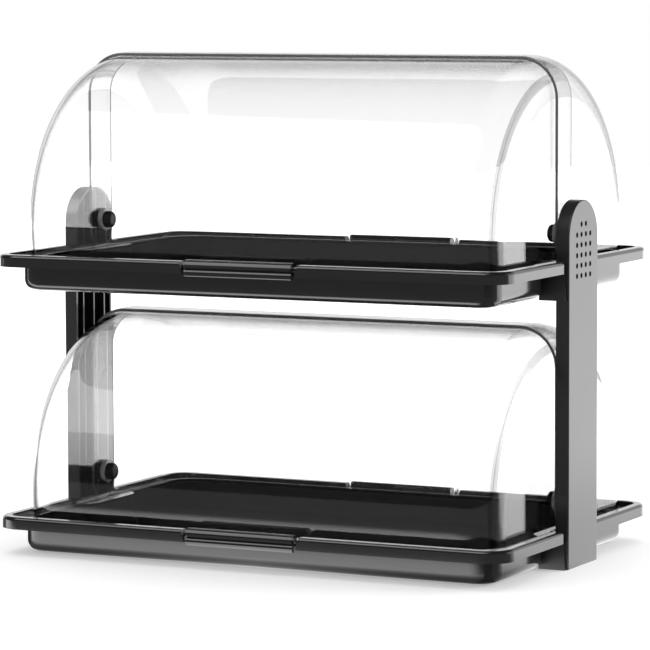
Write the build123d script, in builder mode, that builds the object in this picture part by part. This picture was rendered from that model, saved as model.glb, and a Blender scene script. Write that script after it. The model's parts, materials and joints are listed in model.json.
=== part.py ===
from build123d import *
import os
from math import hypot

# Two-tier roll-top bread display for a counter, in millimetres.
# X runs along the tiers, -Y is the customer's side, +Z is up and Z = 0 is the counter.

# ---- trays
rim_length = 580.0
rim_depth = 390.0
rim_corner = 28.0
rim_rounding = 3.5
tray_height = 38.0  # underside of the well to the top of the rim
tray_lift = 2.0  # counter to the underside of the lower well
tray_wall = 3.0
border_width = 10.0  # raised border round the hoods
border_height = 4.5
ledge_width = 14.5  # ledge inside the border that the hoods stand on
skirt_height = 12.5
skirt_wall = 3.0
well_wall = 4.5  # sides of the well
well_corner = 24.0
well_rounding = 11.0  # floor of the well into its walls
recess_depth = 12.0  # the well steps in behind each upright
recess_width = 84.0
recess_flare = 10.0  # extra width of each end of the step at its mouth
recess_blend = 14.0

# ---- finger grips in the middle of the front and rear rims
grip_length = 121.0
grip_reach = 1.5  # in front of the rim
grip_crown = 1.2  # above the rim
grip_height = 15.5
grip_wall = 3.0
grip_groove = 2.0
grip_gap = 2.5
grip_slant = 4.0  # extra gap at the top, which makes a V

# ---- uprights
upright_width = 75.0
upright_depth = 14.3
upright_wall = 3.0
upright_proud = 3.0  # outer face past the end of the rim
upright_rise = 60.0  # top of the arch above the upper rim
upright_rounding = 1.2
rib_wall = 2.2
rib_pitch = 22.0
notch_gap = 1.5  # upright to the notch in the tray
notch_lip = 3.0  # raised lip round the notch
notch_corner = 4.5
notch_corner_share = 0.45  # of the notch's depth, where that is shallower
dimple_diameter = 5.5
dimple_depth = 2.0
dimple_pitch_across = 11.4
dimple_pitch_up = 10.4
dimple_rows = 5
dimple_top = 13.0  # middle of the arch up to the pair of dimples on top

# ---- brackets that carry the trays
bracket_wall = 3.0
bracket_gap = 0.5  # beside the upright
bracket_well_gap = 3.5
bracket_setback = 4.5  # top corner of its side plates behind the upright's outer face
bracket_slant = 2.0

# ---- hoods
pivot_rise = 25.0  # hood axis above the rim
hood_end_margin = 7.0  # rear shell inside the border at the ends
hood_side_margin = 7.0  # edge of the rear shell inside the border
hood_headroom = 29.6  # lower hood to the tray above it
hood_corner = 42.0
shell_wall = 3.0
shell_gap = 1.0
shell_overlap = 20.0  # each shell reaches this far past the middle, with a lower corner of that radius
hood_lift = 0.3  # shell edge above the ledge
hub_diameter = 26.0
hub_gap = 0.3

# ---- pivots
pin_diameter = 5.0
pin_running_gap = 0.08  # radial, in the shells
pin_fixed_gap = 0.02  # radial, in the parts it is fixed to
pin_tip_wall = 1.5  # boss beyond the end of the pin
washer_diameter = 24.0
washer_thickness = 4.4
spacer_diameter = 16.0
knob_diameter = 18.0
knob_thickness = 8.0
knob_dome = 3.5
axial_gap = 0.3
pivot_boss_diameter = 14.0

# ---- screws
screw_diameter = 4.0
screw_length = 8.0  # below the head
screw_head_diameter = 8.0
screw_head_height = 2.6
screw_head_chamfer = 0.8
screw_hole_gap = 0.2  # radial, in the bracket
screw_boss_diameter = 8.5
screw_tip_gap = 1.0
tray_screw_pitch = 44.0
upright_screw_pitch = 22.0
upright_screw_drop = 26.0  # below the rim

cut_past = 1.0  # cutters reach this far past what they cut

# ---- places worked out from the sizes above
rim_end = rim_length / 2
rim_side = rim_depth / 2
lobe_radius = pivot_rise + border_height - hood_lift
hood_half_length = rim_end - border_width - hood_end_margin
hood_radius = hypot(rim_side - border_width - hood_side_margin, lobe_radius)
front_radius = hood_radius - shell_wall - shell_gap
front_half_length = hood_half_length - shell_wall - shell_gap
front_corner = hood_corner - shell_wall - shell_gap
tier_pitch = pivot_rise + hood_radius + hood_headroom + tray_height
lower_rim = tray_lift + tray_height
upper_rim = lower_rim + tier_pitch
well_inset = border_width + ledge_width - well_wall
well_end = rim_end - well_inset
well_side = rim_side - well_inset
recess_end = well_end - recess_depth
upright_outer = rim_end + upright_proud
upright_inner = upright_outer - upright_depth
upright_half = upright_width / 2
arch_centre = upper_rim + upright_rise - upright_half
notch_half = upright_half + notch_gap
notch_end = upright_inner - notch_gap
bracket_inner = recess_end + bracket_well_gap
bracket_half = upright_half + bracket_gap + bracket_wall
washer_outer = front_half_length - shell_wall - axial_gap
knob_outer = washer_outer - washer_thickness
knob_inner = knob_outer - knob_thickness
spacer_inner = hood_half_length + axial_gap
tray_screw_end = (bracket_inner + notch_end) / 2
tiers = (("lower", lower_rim), ("upper", upper_rim))
sides = (("left", -1), ("right", 1))
fronts = (("front", -1), ("rear", 1))

os.makedirs("parts", exist_ok=True)


def save(piece, name):
    """Label a finished piece and write it to its own file."""
    piece.part.label = name
    export_step(piece.part, f"parts/{name}.step")


def rim_outline(inset, lip):
    """Rim of a tray in plan, inset all round, and by a lip of its own round the notches for the uprights."""
    half = notch_half + lip
    depth = rim_end - inset - notch_end + lip
    RectangleRounded(rim_length - 2 * inset, rim_depth - 2 * inset, rim_corner - inset)
    with Locations((rim_end - inset, 0), (inset - rim_end, 0)):
        Rectangle(2 * depth, 2 * half, mode=Mode.SUBTRACT)
    return min(notch_corner, notch_corner_share * depth)


def notch_corners(outline):
    """The eight corners of the two notches in a rim outline."""
    return outline.vertices().filter_by(lambda corner: abs(corner.Y) < rim_side / 2)


# Well in plan: the step behind each upright has sloping, blended ends.
with BuildSketch() as well_outline:
    RectangleRounded(2 * well_end, 2 * well_side, well_corner)
    for _, side in sides:
        with BuildLine():
            Polyline(
                (side * well_end, -recess_width / 2 - recess_flare),
                (side * recess_end, -recess_width / 2),
                (side * recess_end, recess_width / 2),
                (side * well_end, recess_width / 2 + recess_flare),
                close=True,
            )
        make_face(mode=Mode.SUBTRACT)
    fillet(well_outline.vertices().filter_by(lambda corner: abs(corner.Y) < well_side / 2), recess_blend)


def screw_places(end, pitch):
    """Both ends' screws up into a tray, in plan."""
    return [(side * end, y) for _, side in sides for y in (-pitch / 2, pitch / 2)]


def upright_screw_places(rim):
    """One bracket's screws into its upright, seen along X."""
    return [(y, rim - upright_screw_drop) for y in (-upright_screw_pitch / 2, upright_screw_pitch / 2)]


def arch_outline(half):
    """Upright seen from the side: straight legs up to a round top."""
    Rectangle(2 * half, arch_centre, align=(Align.CENTER, Align.MIN))
    with Locations((0, arch_centre)):
        Circle(half)


def grip_section(rim, front):
    """Section across a finger grip: a crowned lip, a groove and a rounded bead below it, in Y and Z."""
    outer = rim_side + grip_reach
    inner = rim_side - border_width
    base = rim - grip_height
    middle = rim - grip_height / 2
    with BuildLine() as outline:
        crown = ThreePointArc(
            (front * inner, rim),
            (front * (inner + grip_height / 2), rim + grip_crown),
            (front * outer, rim - grip_height / 4),
        )
        Polyline(crown @ 1, (front * outer, middle + grip_groove), (front * (outer - grip_groove), middle))
        bead = ThreePointArc(
            (front * (outer - grip_groove), middle),
            (front * outer, middle - grip_height / 4),
            (front * (outer - grip_groove), base),
        )
        Polyline(
            bead @ 1,
            (front * (outer - grip_groove - grip_wall), base),
            (front * (outer - grip_groove - grip_wall), rim - grip_wall),
            (front * inner, rim - border_height - tray_wall),
            crown @ 0,
        )
    make_face(outline.edges())


def base_tray(rim):
    """Moulded tray: well, hood ledge, raised border, skirt, notches for the uprights and finger grips."""
    ledge = rim - border_height
    skirt = rim - skirt_height
    floor = rim - tray_height + tray_wall
    with BuildPart() as tray:
        with BuildSketch(Plane.XY.offset(rim)) as top:
            blend = rim_outline(0, 0)
            fillet(notch_corners(top), blend)
        extrude(amount=-skirt_height)
        fillet(tray.faces().sort_by(Axis.Z)[-1].edges(), rim_rounding)
        with BuildSketch(Plane.XY.offset(skirt)) as under_ledge:
            blend = rim_outline(skirt_wall, skirt_wall)
            fillet(notch_corners(under_ledge), blend)
        extrude(amount=skirt_height - border_height - tray_wall, mode=Mode.SUBTRACT)
        with BuildSketch(Plane.XY.offset(ledge - tray_wall)) as under_border:
            blend = rim_outline(skirt_wall, skirt_wall)
            fillet(notch_corners(under_border), blend)
            RectangleRounded(
                rim_length - 2 * (border_width - tray_wall),
                rim_depth - 2 * (border_width - tray_wall),
                rim_corner - border_width + tray_wall,
                mode=Mode.SUBTRACT,
            )
        extrude(amount=border_height, mode=Mode.SUBTRACT)
        with BuildSketch(Plane.XY.offset(rim)) as pocket:
            blend = rim_outline(border_width, notch_lip)
            fillet(notch_corners(pocket), blend)
        extrude(amount=-border_height, mode=Mode.SUBTRACT)
        with BuildSketch(Plane.XY.offset(rim - tray_height)):
            add(well_outline.sketch)
        extrude(amount=tray_height - border_height)
        fillet(tray.faces().sort_by(Axis.Z)[0].edges(), well_rounding)
        with BuildSketch(Plane.XY.offset(floor)):
            offset(well_outline.sketch, amount=-well_wall)
        extrude(amount=tray_height, mode=Mode.SUBTRACT)
        well_floor = tray.faces().filter_by(lambda face: abs(face.center().Z - floor) < tray_wall / 2)
        fillet(well_floor.edges(), well_rounding - well_wall)
        for _, front in fronts:
            with BuildSketch(Plane.XZ.offset(-front * (rim_side - border_width))):
                with BuildLine():
                    Polyline(
                        (-grip_length / 2 - grip_gap, skirt - cut_past),
                        (-grip_length / 2 - grip_gap - grip_slant, rim + cut_past),
                        (grip_length / 2 + grip_gap + grip_slant, rim + cut_past),
                        (grip_length / 2 + grip_gap, skirt - cut_past),
                        close=True,
                    )
                make_face()
            extrude(amount=-front * (border_width + cut_past), mode=Mode.SUBTRACT)
            with BuildSketch(Plane.YZ):
                grip_section(rim, front)
            extrude(amount=grip_length / 2, both=True)
        with BuildSketch(Plane.XY.offset(skirt)):
            with Locations(*screw_places(tray_screw_end, tray_screw_pitch)):
                Circle(screw_boss_diameter / 2)
        extrude(amount=skirt_height - border_height - tray_wall)
        with BuildSketch(Plane.XY.offset(skirt)):
            with Locations(*screw_places(tray_screw_end, tray_screw_pitch)):
                Circle(screw_diameter / 2 + pin_fixed_gap)
        extrude(amount=screw_length - bracket_wall + screw_tip_gap, mode=Mode.SUBTRACT)
    return tray


def rolling_shell(pivot, radius, half_length, corner, front):
    """Front or rear half of a hood: a clear shell turned about the pivot axis, cut to its side view."""
    section = Plane(origin=(0, 0, pivot), x_dir=(1, 0, 0), z_dir=(0, -1, 0))
    side_view = Plane(origin=(0, 0, pivot), x_dir=(0, 1, 0), z_dir=(1, 0, 0))
    lobe_middle = shell_overlap - lobe_radius
    reach = radius + shell_wall
    with BuildPart() as shell:
        with BuildSketch(section):
            RectangleRounded(2 * half_length, 2 * radius, corner)
            RectangleRounded(
                2 * (half_length - shell_wall),
                2 * (radius - shell_wall),
                corner - shell_wall,
                mode=Mode.SUBTRACT,
            )
            Rectangle(2 * half_length, radius, align=(Align.CENTER, Align.MIN), mode=Mode.INTERSECT)
        revolve(axis=Axis((0, 0, pivot), (1, 0, 0)))
        with BuildSketch(side_view):
            with BuildLine():
                seam = -front * shell_overlap
                lobe = RadiusArc((0, -lobe_radius), (seam, lobe_middle), seam)
                Polyline(
                    lobe @ 1,
                    (seam, reach),
                    (front * reach, reach),
                    (front * reach, -lobe_radius),
                    lobe @ 0,
                )
            make_face()
        extrude(amount=half_length + cut_past, both=True, mode=Mode.INTERSECT)
        if front < 0:
            for _, side in sides:
                with BuildSketch(Plane(origin=(side * half_length, 0, pivot), z_dir=(side, 0, 0))):
                    Circle(hub_diameter / 2)
                extrude(amount=shell_gap - hub_gap)
        with BuildSketch(side_view):
            Circle(pin_diameter / 2 + pin_running_gap)
        extrude(amount=half_length + shell_gap, both=True, mode=Mode.SUBTRACT)
    return shell


def upright(side):
    """Channel-section upright, open towards the trays, with an arched top, ribs, bosses and dimples."""
    inner_face = Plane.YZ.offset(side * upright_inner)
    outer_face = Plane.YZ.offset(side * upright_outer)
    depth = side * (upright_depth - upright_wall)
    with BuildSketch() as ribs:
        with Locations(*[(y, arch_centre / 2) for y in (-rib_pitch, 0, rib_pitch)]):
            Rectangle(rib_wall, 2 * arch_centre)
        with Locations((0, upright_wall / 2)):
            Rectangle(upright_width, upright_wall)
    with BuildPart() as post:
        with BuildSketch(inner_face):
            arch_outline(upright_half)
        extrude(amount=side * upright_depth)
        outer_edges = post.faces().filter_by(Axis.X).sort_by(lambda face: side * face.center().X)[-1].edges()
        fillet(outer_edges, upright_rounding)
        with BuildSketch(inner_face):
            arch_outline(upright_half - upright_wall)
        extrude(amount=depth, mode=Mode.SUBTRACT)
        with BuildSketch(inner_face):
            arch_outline(upright_half - upright_wall / 2)
            add(ribs.sketch, mode=Mode.INTERSECT)
            for _, rim in tiers:
                with Locations((0, rim + pivot_rise)):
                    Circle(pivot_boss_diameter / 2)
                with Locations(*upright_screw_places(rim)):
                    Circle(screw_boss_diameter / 2)
        extrude(amount=depth)
        for _, rim in tiers:
            with BuildSketch(inner_face):
                with Locations((0, rim + pivot_rise)):
                    Circle(pin_diameter / 2 + pin_fixed_gap)
            extrude(amount=depth - side * pin_tip_wall, mode=Mode.SUBTRACT)
            with BuildSketch(inner_face):
                with Locations(*upright_screw_places(rim)):
                    Circle(screw_diameter / 2 + pin_fixed_gap)
            extrude(amount=side * (screw_length - bracket_wall + screw_tip_gap), mode=Mode.SUBTRACT)
        with BuildSketch(outer_face):
            with Locations((0, arch_centre + dimple_top)):
                with GridLocations(dimple_pitch_across, dimple_pitch_up, 2, 1):
                    Circle(dimple_diameter / 2)
            with Locations((0, arch_centre + dimple_top - dimple_pitch_up * (dimple_rows + 1) / 2)):
                with GridLocations(dimple_pitch_across, dimple_pitch_up, 4, dimple_rows):
                    Circle(dimple_diameter / 2)
        extrude(amount=-side * dimple_depth, mode=Mode.SUBTRACT)
    return post


def bracket(rim, side):
    """Box under one end of a tray: its side plates clasp the upright and its feet stand below the well."""
    foot = rim - tray_height - tray_lift
    head = rim - skirt_height
    outer = upright_outer - bracket_setback
    with BuildPart() as saddle:
        for _, front in fronts:
            with BuildSketch(Plane.XZ.offset(-front * bracket_half)):
                with BuildLine():
                    Polyline(
                        (side * bracket_inner, foot),
                        (side * (outer + bracket_slant), foot),
                        (side * outer, head),
                        (side * bracket_inner, head),
                        close=True,
                    )
                make_face()
            extrude(amount=front * bracket_wall)
        with BuildSketch(Plane.XY.offset(foot)):
            for x in (bracket_inner + bracket_wall / 2, upright_inner - bracket_wall / 2):
                with Locations((side * x, 0)):
                    Rectangle(bracket_wall, 2 * bracket_half)
        extrude(amount=head - foot)
        with BuildSketch(Plane.XY.offset(head)):
            with Locations((side * (bracket_inner + upright_inner) / 2, 0)):
                Rectangle(upright_inner - bracket_inner, 2 * bracket_half)
        extrude(amount=-bracket_wall)
        with BuildSketch(Plane.XY.offset(head)):
            with Locations(*screw_places(tray_screw_end, tray_screw_pitch)):
                Circle(screw_diameter / 2 + screw_hole_gap)
        extrude(amount=-bracket_wall, mode=Mode.SUBTRACT)
        with BuildSketch(Plane.YZ.offset(side * (upright_inner - bracket_wall))):
            with Locations(*upright_screw_places(rim)):
                Circle(screw_diameter / 2 + screw_hole_gap)
        extrude(amount=side * bracket_wall, mode=Mode.SUBTRACT)
        with BuildSketch(Plane.YZ.offset(side * bracket_inner)):
            with Locations(*upright_screw_places(rim)):
                Circle(screw_head_diameter / 2 + screw_hole_gap)
        extrude(amount=side * bracket_wall, mode=Mode.SUBTRACT)
    return saddle


def turned_piece(pivot, side, start, length, diameter, bore=0.0, dome=0.0):
    """Round piece on a pivot axis, from its inner face outwards, with a bore or a domed inner face."""
    with BuildPart() as piece:
        with BuildSketch(Plane(origin=(side * start, 0, pivot), x_dir=(0, 1, 0), z_dir=(side, 0, 0))):
            Circle(diameter / 2)
        extrude(amount=length)
        if dome:
            rings = piece.edges().filter_by(GeomType.CIRCLE)
            fillet(rings.sort_by(lambda edge: side * edge.center().X)[0], dome)
        if bore:
            with BuildSketch(Plane(origin=(side * (start + length), 0, pivot), z_dir=(side, 0, 0))):
                Circle(bore / 2)
            extrude(amount=dome - length, mode=Mode.SUBTRACT)
    return piece


def screws(places):
    """Group of pan-head screws, each placed by a plane under its head that faces along the shank."""
    with BuildPart() as group:
        for place in places:
            with BuildSketch(place):
                Circle(screw_head_diameter / 2)
            extrude(amount=-screw_head_height)
            heads = group.faces(Select.LAST).filter_by(GeomType.PLANE).sort_by_distance(place.origin)
            chamfer(heads[-1].edges(), screw_head_chamfer)
            with BuildSketch(place):
                Circle(screw_diameter / 2)
            extrude(amount=screw_length)
    return group


for tier, rim in tiers:
    pivot = rim + pivot_rise
    save(base_tray(rim), f"{tier}_base_tray")
    save(rolling_shell(pivot, front_radius, front_half_length, front_corner, -1), f"{tier}_front_shell")
    save(rolling_shell(pivot, hood_radius, hood_half_length, hood_corner, 1), f"{tier}_rear_shell")
    for name, side in sides:
        fixed_bore = pin_diameter + 2 * pin_fixed_gap
        pin_inner = knob_inner + knob_dome
        pin_length = upright_outer - upright_wall - pin_tip_wall - pin_inner
        spacer_length = upright_inner - spacer_inner
        save(bracket(rim, side), f"{tier}_{name}_bracket")
        save(turned_piece(pivot, side, pin_inner, pin_length, pin_diameter), f"{tier}_{name}_pivot_pin")
        save(
            turned_piece(pivot, side, knob_inner, knob_thickness, knob_diameter, fixed_bore, knob_dome),
            f"{tier}_{name}_knob",
        )
        save(
            turned_piece(pivot, side, knob_outer, washer_thickness, washer_diameter, fixed_bore),
            f"{tier}_{name}_hub_washer",
        )
        save(
            turned_piece(pivot, side, spacer_inner, spacer_length, spacer_diameter, fixed_bore),
            f"{tier}_{name}_spacer",
        )

for name, side in sides:
    save(upright(side), f"{name}_upright")

save(
    screws(
        [
            Plane(origin=(x, y, rim - skirt_height - bracket_wall), z_dir=(0, 0, 1))
            for _, rim in tiers
            for x, y in screw_places(tray_screw_end, tray_screw_pitch)
        ]
    ),
    "tray_screws",
)
save(
    screws(
        [
            Plane(origin=(side * (upright_inner - bracket_wall), y, z), z_dir=(side, 0, 0))
            for _, side in sides
            for _, rim in tiers
            for y, z in upright_screw_places(rim)
        ]
    ),
    "upright_screws",
)
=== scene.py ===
import json
from math import cos, pi, radians, sin

import bpy
from mathutils import Matrix, Vector


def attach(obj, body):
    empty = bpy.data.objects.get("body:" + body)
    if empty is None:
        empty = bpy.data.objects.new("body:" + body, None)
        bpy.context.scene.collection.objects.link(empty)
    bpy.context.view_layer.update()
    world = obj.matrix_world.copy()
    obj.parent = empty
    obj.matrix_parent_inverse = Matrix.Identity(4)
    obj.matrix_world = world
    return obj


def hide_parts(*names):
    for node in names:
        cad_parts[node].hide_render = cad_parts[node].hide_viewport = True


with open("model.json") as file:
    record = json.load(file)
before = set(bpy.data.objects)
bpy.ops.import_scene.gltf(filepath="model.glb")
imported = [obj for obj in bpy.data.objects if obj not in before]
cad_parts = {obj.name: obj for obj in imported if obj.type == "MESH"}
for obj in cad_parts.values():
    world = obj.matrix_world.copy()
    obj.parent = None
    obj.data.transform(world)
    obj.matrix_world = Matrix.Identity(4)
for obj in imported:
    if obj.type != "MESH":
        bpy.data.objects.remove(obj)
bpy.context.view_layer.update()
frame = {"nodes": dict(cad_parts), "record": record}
nodes = frame["nodes"]
scene = bpy.context.scene
scene.view_settings.view_transform = "Standard"
print("frame loaded,", len(nodes), "nodes")

cameraView = {
    "place": (1.7521, -3.4953, 0.6106),
    "azimuth": 26.62,  # degrees round to the right
    "pitch": 5.5,  # degrees down
    "roll": -0.22,
    "lens": 207.65,
    "sensor": 36.0,
    "clip": (0.1, 60),
}


def setCamera(view):
    azimuth, pitch, roll = (radians(view[key]) for key in ("azimuth", "pitch", "roll"))
    forward = Vector((-sin(azimuth) * cos(pitch), cos(azimuth) * cos(pitch), -sin(pitch)))
    level = Vector((cos(azimuth), sin(azimuth), 0))
    upward = level.cross(forward)
    right = level * cos(roll) + upward * sin(roll)
    top = right.cross(forward)
    turn = Matrix((right, top, -forward)).transposed().to_4x4()
    lens = bpy.data.cameras.new("camera")
    lens.lens, lens.sensor_width = view["lens"], view["sensor"]
    lens.clip_start, lens.clip_end = view["clip"]
    camera = bpy.data.objects.new("camera", lens)
    camera.matrix_world = Matrix.Translation(view["place"]) @ turn
    scene.collection.objects.link(camera)
    scene.camera = camera


setCamera(cameraView)
print("camera set")


class Wire:
    def __init__(self, tree, socket):
        self.tree, self.socket = tree, socket

    def maths(self, operation, *values, swap=False):
        terms = [self, *values]
        if swap:
            terms.reverse()
        return self.node("ShaderNodeMath", {"operation": operation}, *terms)

    def node(self, kind, settings, *values, out=0, **named):
        made = self.tree.nodes.new(kind)
        for key, value in settings.items():
            setattr(made, key, value)
        for index, value in enumerate(values):
            self.feed(made.inputs[index], value)
        for name, value in named.items():
            self.feed(made.inputs[name.replace("_", " ")], value)
        return Wire(self.tree, made.outputs[out])

    def feed(self, socket, value):
        if isinstance(value, Wire):
            self.tree.links.new(value.socket, socket)
        else:
            socket.default_value = value

    def __add__(self, other):
        return self.maths("ADD", other)

    def __sub__(self, other):
        return self.maths("SUBTRACT", other)

    def __rsub__(self, other):
        return self.maths("SUBTRACT", other, swap=True)

    def __mul__(self, other):
        return self.maths("MULTIPLY", other)

    def __gt__(self, other):
        return self.maths("GREATER_THAN", other)

    def __lt__(self, other):
        return self.maths("LESS_THAN", other)

    __radd__ = __add__


def newFinish(name):
    material = bpy.data.materials.new(name)
    material.use_nodes = True
    tree = material.node_tree
    shader = tree.nodes["Principled BSDF"]
    place = tree.nodes.new("ShaderNodeTexCoord")
    return material, shader, Wire(tree, place.outputs["Object"])


def noise(place, scale, detail):
    return place.node("ShaderNodeTexNoise", {}, Vector=place, Scale=scale, Detail=detail)


def bump(height, strength, distance):
    return height.node("ShaderNodeBump", {}, Height=height, Strength=strength, Distance=distance)


def mixTones(factor, first, second):
    tree = factor.tree
    made = tree.nodes.new("ShaderNodeMix")
    made.data_type = "RGBA"
    factor.feed(made.inputs[0], factor)
    for socket, value in ((made.inputs[6], first), (made.inputs[7], second)):
        factor.feed(socket, value if isinstance(value, Wire) else (*value, 1))
    return Wire(tree, made.outputs[2])


def smoothStep(value, low, high):
    kind = {"interpolation_type": "SMOOTHSTEP"}
    return value.node("ShaderNodeMapRange", kind, value, low, high, 0.0, 1.0)


def band(value, riseFrom, riseTo, fallFrom, fallTo):
    return smoothStep(value, riseFrom, riseTo) * (1 - smoothStep(value, fallFrom, fallTo))


def grazing(tree):
    weight = tree.nodes.new("ShaderNodeLayerWeight")
    weight.inputs["Blend"].default_value = 0.5
    return Wire(tree, weight.outputs["Facing"])


def axis(place, index):
    return place.node("ShaderNodeSeparateXYZ", {}, place, out=index)


def shades(tone, *shares):
    return [tuple(channel * share for channel in tone) for share in shares]


sheet = {
    "tone": 0.992,  # share of light through a wall seen square on
    "edgeTone": 0.5,  # and seen along it: a painted shade, slightly blue, darker as the wall turns edge on
    "edgeBlue": 1.01,
    "edgeFrom": 0.5,  # 0 is square on, 1 is along the wall
    "edgeTo": 0.84,
    "limbTone": 0.15,  # painted shade at its outline, standing in for the light that runs inside the wall
    "limbFrom": 0.87,
    "limbTo": 0.97,
    "shoulderSpan": (0.235, 0.262),  # rounded shoulders, from the middle of the hood
    "shoulder": 0.06,  # how much sooner the painted shade comes in there
    "limbShoulder": 0.16,  # and how much sooner the painted outline shade does
    "line": 0.0,  # strength of the painted shade line, a thin dark line round each rounded end
    "lineTone": 0.38,
    "lineSpan": (0.2600, 0.2608, 0.2624, 0.2634),
    "ior": 1.58,
    "roughness": 0.0,
    "haze": 0.012,
    "clear": 1.0,
    "ripple": 0.05,  # unevenness left by the mould
    "rippleSize": 7.0,
    "rippleDepth": 0.002,
    "rippleDetail": 1,
    # noise that varies the haze and the painted shade seen along the wall
    "wearAndShadeSize": 9.0,
    "wearAndShadeDetail": 4,
    "paintedShadeShare": (0.2, 0.9),
}


def clearSheet(name, look, **changes):
    look = {**look, **changes}
    material, shader, place = newFinish(name)
    shader.inputs["Transmission Weight"].default_value = look["clear"]
    shader.inputs["IOR"].default_value = look["ior"]
    wearAndShade = noise(place, look["wearAndShadeSize"], look["wearAndShadeDetail"])
    uneven, even = look["paintedShadeShare"]
    # painted shade: the tint darkens where the wall is seen along it, more over the rounded
    # shoulders, and most at its outline
    along = axis(place, 0).maths("ABSOLUTE")
    shoulder = smoothStep(along, *look["shoulderSpan"])
    turned = grazing(place.tree)
    side = smoothStep(turned + shoulder * look["shoulder"], look["edgeFrom"], look["edgeTo"])
    edge = look["edgeTone"]
    edgeTint = (edge, edge, edge * look["edgeBlue"])
    tint = mixTones(side * (wearAndShade * uneven + even), (look["tone"],) * 3, edgeTint)
    # painted shade: a thin dark band of tint round each rounded end
    if look["line"]:
        line = band(along, *look["lineSpan"])
        tint = mixTones(line * look["line"], tint, (look["lineTone"],) * 3)
    limb = smoothStep(turned + shoulder * look["limbShoulder"], look["limbFrom"], look["limbTo"])
    wearAndShade.feed(shader.inputs["Base Color"], mixTones(limb, tint, (look["limbTone"],) * 3))
    wearAndShade.feed(shader.inputs["Roughness"], wearAndShade * look["haze"] + look["roughness"])
    if look["ripple"]:
        swell = noise(place, look["rippleSize"], look["rippleDetail"])
        wearAndShade.feed(shader.inputs["Normal"], bump(swell, look["ripple"], look["rippleDepth"]))
    return material


moulded = {
    "cloudSize": 14,  # slow changes of tone and gloss
    "cloudDetail": 4,
    "cloudShades": (0.85, 1.2),
    "grainDetail": 2,
    "grainStrength": 0.25,
    "coatRoughness": 0.06,
}


def blackPlastic(name, tone, roughness, spread, grain, grainDepth, specular=0.5, coat=0.0):
    material, shader, place = newFinish(name)
    cloud = noise(place, moulded["cloudSize"], moulded["cloudDetail"])
    fine = noise(place, grain, moulded["grainDetail"])
    tint = mixTones(cloud, *shades(tone, *moulded["cloudShades"]))
    cloud.feed(shader.inputs["Base Color"], tint)
    cloud.feed(shader.inputs["Roughness"], cloud * spread + roughness)
    cloud.feed(shader.inputs["Normal"], bump(fine, moulded["grainStrength"], grainDepth))
    shader.inputs["Specular IOR Level"].default_value = specular
    shader.inputs["Coat Weight"].default_value = coat
    shader.inputs["Coat Roughness"].default_value = moulded["coatRoughness"]
    return material


brushed = {
    "streakSize": 240,
    "streakDetail": 3,
    "streakShades": (1.0, 0.8),
    "roughness": 0.25,
    "spread": 0.15,
}


def steel(name, tone):
    material, shader, place = newFinish(name)
    streaks = noise(place, brushed["streakSize"], brushed["streakDetail"])
    tint = mixTones(streaks, *shades(tone, *brushed["streakShades"]))
    shader.inputs["Metallic"].default_value = 1
    streaks.feed(shader.inputs["Base Color"], tint)
    gloss = streaks * brushed["spread"] + brushed["roughness"]
    streaks.feed(shader.inputs["Roughness"], gloss)
    return material


well = {
    "floors": (0.005, 0.277979),  # heights of the two floors
    "below": 0.0005,
    "halfLength": 0.2656,
    "halfDepth": 0.1706,
    "depth": 0.0280,
    "tone": (0.026, 0.026, 0.027),
    "roughness": 0.62,
    "spread": 0.1,
    "cloudSize": 11,
    "cloudShades": (0.85, 1.15),
    "grain": 1100,
    "grainStrength": 0.2,
    "grainDepth": 0.00006,
}


def within(value, low, high):
    return (value > low) * (value < high)


def trayPlastic(name):
    material = blackPlastic(
        name, (0.012, 0.012, 0.013), roughness=0.13, spread=0.05, grain=900,
        grainDepth=0.00004, coat=0.6,
    )
    tree = material.node_tree
    glossy = tree.nodes["Principled BSDF"]
    place = Wire(tree, tree.nodes.new("ShaderNodeTexCoord").outputs["Object"])
    matt = tree.nodes.new("ShaderNodeBsdfPrincipled")
    matt.inputs["Specular IOR Level"].default_value = 0.0
    cloud = noise(place, well["cloudSize"], moulded["cloudDetail"])
    tint = mixTones(cloud, *shades(well["tone"], *well["cloudShades"]))
    cloud.feed(matt.inputs["Base Color"], tint)
    cloud.feed(matt.inputs["Roughness"], cloud * well["spread"] + well["roughness"])
    fine = noise(place, well["grain"], moulded["grainDetail"])
    cloud.feed(matt.inputs["Normal"], bump(fine, well["grainStrength"], well["grainDepth"]))
    x, y, z = (axis(place, index) for index in range(3))
    levels = [within(z, floor - well["below"], floor + well["depth"]) for floor in well["floors"]]
    inside = (x.maths("ABSOLUTE") < well["halfLength"]) * (y.maths("ABSOLUTE") < well["halfDepth"])
    both = tree.nodes.new("ShaderNodeMixShader")
    inside.feed(both.inputs[0], inside * levels[0].maths("MAXIMUM", levels[1]))
    tree.links.new(glossy.outputs[0], both.inputs[1])
    tree.links.new(matt.outputs[0], both.inputs[2])
    tree.links.new(both.outputs[0], tree.nodes["Material Output"].inputs["Surface"])
    return material


finishes = {
    "tray_plastic": trayPlastic("glossy_black"),
    "stand_plastic": blackPlastic(
        "satin_black", (0.013, 0.013, 0.014), roughness=0.34, spread=0.06, grain=1400,
        grainDepth=0.00006, specular=0.9, coat=0.6,
    ),
    "knob_plastic": blackPlastic(
        "knob_black", (0.010, 0.010, 0.011), roughness=0.22, spread=0.05, grain=900,
        grainDepth=0.00003, specular=0.25,
    ),
    "clear_plastic": clearSheet("clear_sheet", sheet),
    # the washers: whitish and less clear, with a lighter painted shade where seen along them
    "washer_plastic": clearSheet(
        "clear_washer", sheet, tone=0.9, edgeTone=0.7, roughness=0.02, ripple=0.0, clear=0.6
    ),
    "pin_steel": steel("pin_steel", (0.6, 0.6, 0.59)),
    "screw_steel": steel("screw_steel", (0.56, 0.56, 0.55)),
}
# the front sheets carry the painted shade line round their rounded ends
innerSheet = clearSheet("clear_inner_sheet", sheet, line=1.0)
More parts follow.
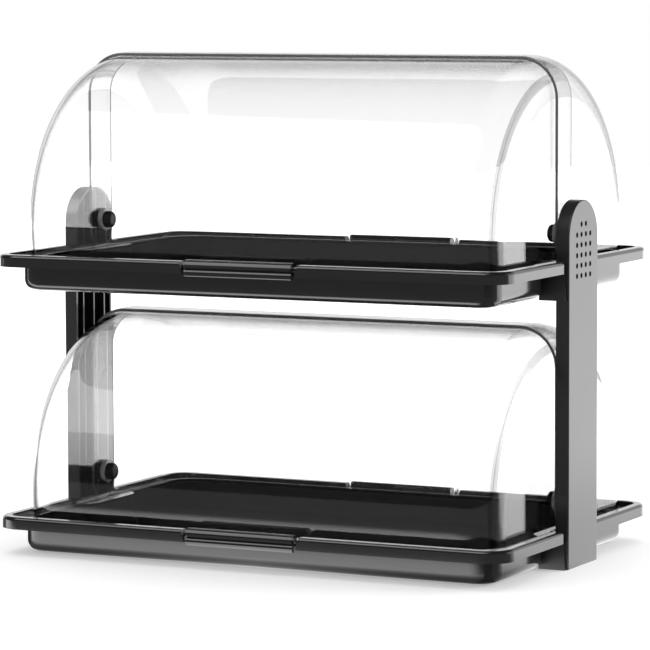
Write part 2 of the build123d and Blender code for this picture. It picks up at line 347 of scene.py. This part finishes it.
# the end walls: a weaker painted shade that comes in only near their outline, none added over the
# shoulders
endWall = clearSheet(
    "clear_end_wall", sheet, edgeFrom=0.62, edgeTo=1.1, shoulder=0.0, limbShoulder=0.0
)
# the cut edges: rough and less clear, and tinted grey, a painted shade for the dark line they show
cutEdge = clearSheet(
    "clear_cut_edge", sheet, tone=0.58, edgeTone=0.35, roughness=0.25, ripple=0.0, clear=0.7
)
slotOf = {part["node"]: part["material_slot"] for part in frame["record"]["subparts"]}
for name, node in nodes.items():
    finish = "stand_plastic" if name.endswith("_spacer") else slotOf[name]
    node.data.materials.clear()
    node.data.materials.append(finishes[finish])
print("finishes on the frame")

hood = {
    "pivots": {"lower": 0.065, "upper": 0.337979},
    "radius": 0.180379,  # rear shell; the front one is a gap and a wall smaller
    "halfLength": 0.273,
    "corner": 0.042,
    "wall": 0.003,
    "gap": 0.001,
    "drop": 0.0292,  # pivot down to the lower edge
    "overlap": 0.020,  # past the middle, and the radius of the corner under the pivot
    "edgeRound": 0.0007,
    "edgeSteps": 2,
    "sharpAngle": 60,  # degrees; only sharper edges are rounded
    "smoothAngle": 50,
    "turns": 144,
    "cornerSteps": 12,
    "lobeSteps": 10,
    "roundProfile": 0.5,
    "sameSpot": 1e-5,
    "mergeWithin": 1e-6,
    "flatEnd": 0.9999,  # a face of the end wall points at least this far sideways
}


def makeActive(piece):
    bpy.ops.object.mode_set(mode="OBJECT")
    bpy.ops.object.select_all(action="DESELECT")
    piece.select_set(True)
    bpy.context.view_layer.objects.active = piece


def pick(piece, kind, test):
    bpy.ops.object.mode_set(mode="OBJECT")
    scene.tool_settings.mesh_select_mode = (kind == "verts", kind == "edges", False)
    data = piece.data
    for group in (data.vertices, data.edges, data.polygons):
        group.foreach_set("select", [False] * len(group))
    if kind == "verts":
        for vert in data.vertices:
            vert.select = test(vert.co)
    else:
        for edge in data.edges:
            edge.select = test(*(data.vertices[index].co for index in edge.vertices))
    bpy.ops.object.mode_set(mode="EDIT")


def apply(piece, kind, **settings):
    modifier = piece.modifiers.new(kind.lower(), kind)
    for key, value in settings.items():
        setattr(modifier, key, value)
    makeActive(piece)
    bpy.ops.object.modifier_apply(modifier=modifier.name)


def rollShell(tier, front):
    step = (hood["wall"] + hood["gap"]) if front < 0 else 0
    radius, half, corner = (hood[size] - step for size in ("radius", "halfLength", "corner"))
    near, drop = hood["sameSpot"], hood["drop"]
    if bpy.context.object:
        bpy.ops.object.mode_set(mode="OBJECT")
    bpy.ops.object.select_all(action="DESELECT")
    bpy.ops.mesh.primitive_cylinder_add(
        vertices=hood["turns"], radius=radius, depth=2 * half, end_fill_type="NGON",
        rotation=(0, pi / 2, 0),
    )
    shell = bpy.context.object
    shell.name = f"{tier}_{'front' if front < 0 else 'rear'}_clear_hood"
    bpy.ops.object.transform_apply(location=False, rotation=True, scale=True)
    pick(shell, "edges", lambda a, b: abs(a.x - b.x) < near and abs(a.x) > half - near)
    bpy.ops.mesh.bevel(
        offset=corner, segments=hood["cornerSteps"], profile=hood["roundProfile"], affect="EDGES"
    )
    seam = -front * hood["overlap"]
    for spot, facing in (((0, seam, 0), (0, -front, 0)), ((0, 0, -drop), (0, 0, -1))):
        bpy.ops.mesh.select_all(action="SELECT")
        bpy.ops.mesh.bisect(plane_co=spot, plane_no=facing, clear_outer=True, use_fill=False)
    corners = [Vector((side * half, seam, -drop)) for side in (-1, 1)]
    pick(shell, "verts", lambda at: min((at - spot).length for spot in corners) < near)
    bpy.ops.mesh.bevel(
        offset=hood["overlap"], segments=hood["lobeSteps"], profile=hood["roundProfile"],
        affect="VERTICES",
    )
    bpy.ops.mesh.select_all(action="SELECT")
    bpy.ops.mesh.remove_doubles(threshold=hood["mergeWithin"])
    bpy.ops.mesh.normals_make_consistent(inside=False)
    bpy.ops.object.mode_set(mode="OBJECT")
    shell.data.materials.append(innerSheet if front < 0 else finishes["clear_plastic"])
    shell.data.materials.append(cutEdge)
    shell.data.materials.append(endWall)
    apply(
        shell, "SOLIDIFY", thickness=hood["wall"], offset=-1, use_even_offset=True,
        use_quality_normals=True, material_offset_rim=1,
    )
    apply(
        shell, "BEVEL", width=hood["edgeRound"], segments=hood["edgeSteps"], limit_method="ANGLE",
        angle_limit=radians(hood["sharpAngle"]), material=1,
    )
    for face in shell.data.polygons:
        if face.material_index == 0 and abs(face.normal.x) > hood["flatEnd"]:
            face.material_index = 2
    for vert in shell.data.vertices:
        vert.co.z += hood["pivots"][tier]
    bpy.ops.object.shade_smooth_by_angle(angle=radians(hood["smoothAngle"]))
    apply(shell, "WEIGHTED_NORMAL", mode="FACE_AREA", weight=100, keep_sharp=True)
    body = f"{tier}_{'front' if front < 0 else 'rear'}_shell"
    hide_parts(body)
    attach(shell, body)
    return shell


for tier in hood["pivots"]:
    for front in (-1, 1):
        made = rollShell(tier, front)
        print(made.name, len(made.data.polygons), "faces")

studio = {
    "floorSize": 14.0,
    "floorTone": 0.85,
    "floorRoughness": 0.9,
    "floorGlow": 0.36,  # close to the display, where its shadow shows
    "farGlow": 0.9,
    "glowSpan": (0.5, 1.1),
    "whiteThroughSheet": 1.22,  # white seen through a clear wall
    "shade": 0.22,  # painted light: how brightly the floor glows in reflections only
    "frontPatch": 2.6,  # painted light: a glowing patch added to it in front of the display
    "frontPatchDepth": (0.17, 0.21, 0.29, 0.36),
    "frontPatchEnd": (0.2, 0.34),
    "rearPatch": 1.9,  # and a glowing patch behind it
    "rearPatchSlope": 0.42,
    "rearPatchStart": 0.22,
    "rearPatchFade": (-0.05, 0.12),
    "rearPatchRise": (0.2, 0.9),
    "rearPatchShare": (0.3, 0.7),
    "skyForLight": 0.72,
    "frontDark": 0.06,  # brightness of the room in front, in reflections
    "roomSpan": (0.22, 0.5),
    "roomTop": (0.25, 0.6),
}


def lightPath(tree, *kinds):
    path = tree.nodes.new("ShaderNodeLightPath")
    wires = [Wire(tree, path.outputs[kind]) for kind in kinds]
    total = wires[0]
    for wire in wires[1:]:
        total = total.maths("MAXIMUM", wire)
    return total


def mirroredPath(tree):
    # 1 once a path has met a glossy face, also inside a clear wall
    return (lightPath(tree, "Glossy Depth") > 0.5) * (1 - lightPath(tree, "Is Diffuse Ray"))


def layFloor():
    bpy.ops.object.select_all(action="DESELECT")
    bpy.ops.mesh.primitive_plane_add(size=studio["floorSize"], location=(0, 0, 0))
    floor = bpy.context.object
    floor.name = "studio_floor"
    material = bpy.data.materials.new("floor_white")
    material.use_nodes = True
    tree = material.node_tree
    shader = tree.nodes["Principled BSDF"]
    shader.inputs["Base Color"].default_value = (studio["floorTone"],) * 3 + (1,)
    shader.inputs["Roughness"].default_value = studio["floorRoughness"]
    shader.inputs["Specular IOR Level"].default_value = 0.0
    glow = tree.nodes.new("ShaderNodeEmission")
    place = Wire(tree, tree.nodes.new("ShaderNodeTexCoord").outputs["Object"])
    x, y = (axis(place, index) for index in range(2))
    # painted light: in reflections the floor glows, brightest in a patch in front and a patch
    # behind
    ahead = band(0 - y, *studio["frontPatchDepth"]) * (1 - smoothStep(x, *studio["frontPatchEnd"]))
    ahead = ahead * (lightPath(tree, "Transmission Depth") < 0.5)
    inward = y - x.maths("ABSOLUTE") * studio["rearPatchSlope"] + studio["rearPatchStart"]
    rise, base = studio["rearPatchShare"]
    behind = smoothStep(y, *studio["rearPatchRise"]) * rise + base
    behind = smoothStep(inward, *studio["rearPatchFade"]) * behind
    mirrored = ahead * studio["frontPatch"] + behind * studio["rearPatch"] + studio["shade"]
    gloss = mirroredPath(tree)
    away = smoothStep((x * x + y * y).maths("SQRT"), *studio["glowSpan"])
    away = away * (studio["farGlow"] - studio["floorGlow"])
    seen = lightPath(tree, "Is Camera Ray", "Is Transmission Ray") * (away + studio["floorGlow"])
    seen = seen + lightPath(tree, "Is Transmission Ray") * (studio["whiteThroughSheet"] - 1)
    glow.inputs["Color"].default_value = (1, 1, 1, 1)
    seen.feed(glow.inputs["Strength"], seen + gloss * (mirrored - seen))
    joined = tree.nodes.new("ShaderNodeAddShader")
    tree.links.new(shader.outputs[0], joined.inputs[0])
    tree.links.new(glow.outputs[0], joined.inputs[1])
    chosen = tree.nodes.new("ShaderNodeMixShader")
    gloss.feed(chosen.inputs[0], gloss)
    tree.links.new(joined.outputs[0], chosen.inputs[1])
    tree.links.new(glow.outputs[0], chosen.inputs[2])
    tree.links.new(chosen.outputs[0], tree.nodes["Material Output"].inputs["Surface"])
    floor.data.materials.append(material)


def lightSky():
    world = bpy.data.worlds.new("studio_white")
    scene.world = world
    world.use_nodes = True
    tree = world.node_tree
    sky = tree.nodes["Background"]
    sky.inputs["Color"].default_value = (1, 1, 1, 1)
    place = Wire(tree, tree.nodes.new("ShaderNodeTexCoord").outputs["Generated"])
    along, upward = (axis(place, index) for index in (1, 2))
    rear = smoothStep(along, *studio["roomSpan"]) * (1 - smoothStep(upward, *studio["roomTop"]))
    gloss = mirroredPath(tree)
    seen = lightPath(tree, "Is Camera Ray", "Is Transmission Ray") * (1 - gloss)
    room = rear * (1 - studio["frontDark"]) + studio["frontDark"]
    other = studio["skyForLight"] + gloss * (room - studio["skyForLight"])
    white = lightPath(tree, "Is Transmission Ray") * (studio["whiteThroughSheet"] - 1) + 1
    seen.feed(sky.inputs["Strength"], other + seen * (white - other))


lamps = {
    "top_box": {"place": (-0.7, 0.3, 2.4), "aim": 0.2, "size": (3.2, 2.4), "power": 24},
    "front_top_box": {
        "place": (-0.5, -1.4, 1.9), "aim": 0.2, "size": (2.6, 1.9), "power": 36, "mirrored": True,
    },
    "right_rear_box": {"place": (1.9, 2.2, 0.5), "aim": 0.3, "size": (1.6, 1.6), "power": 16},
    "right_box": {"place": (1.6, 0.7, 0.5), "aim": 0.3, "size": (0.8, 1.4), "power": 12},
}  # each lamp is aimed at a height above the middle of the floor


def hangLamp(name, place, aim, size, power, mirrored=False):
    lamp = bpy.data.lights.new(name, "AREA")
    lamp.shape = "RECTANGLE"
    lamp.size, lamp.size_y = size
    lamp.energy = power
    holder = bpy.data.objects.new(name, lamp)
    holder.location = place
    towards = Vector((0, 0, aim)) - Vector(place)
    holder.rotation_euler = towards.to_track_quat("-Z", "Y").to_euler()
    scene.collection.objects.link(holder)
    holder.visible_camera = holder.visible_transmission = False
    holder.visible_glossy, holder.visible_diffuse = mirrored, not mirrored


layFloor()
lightSky()
for name, lamp in lamps.items():
    hangLamp(name, **lamp)
print("studio lit")
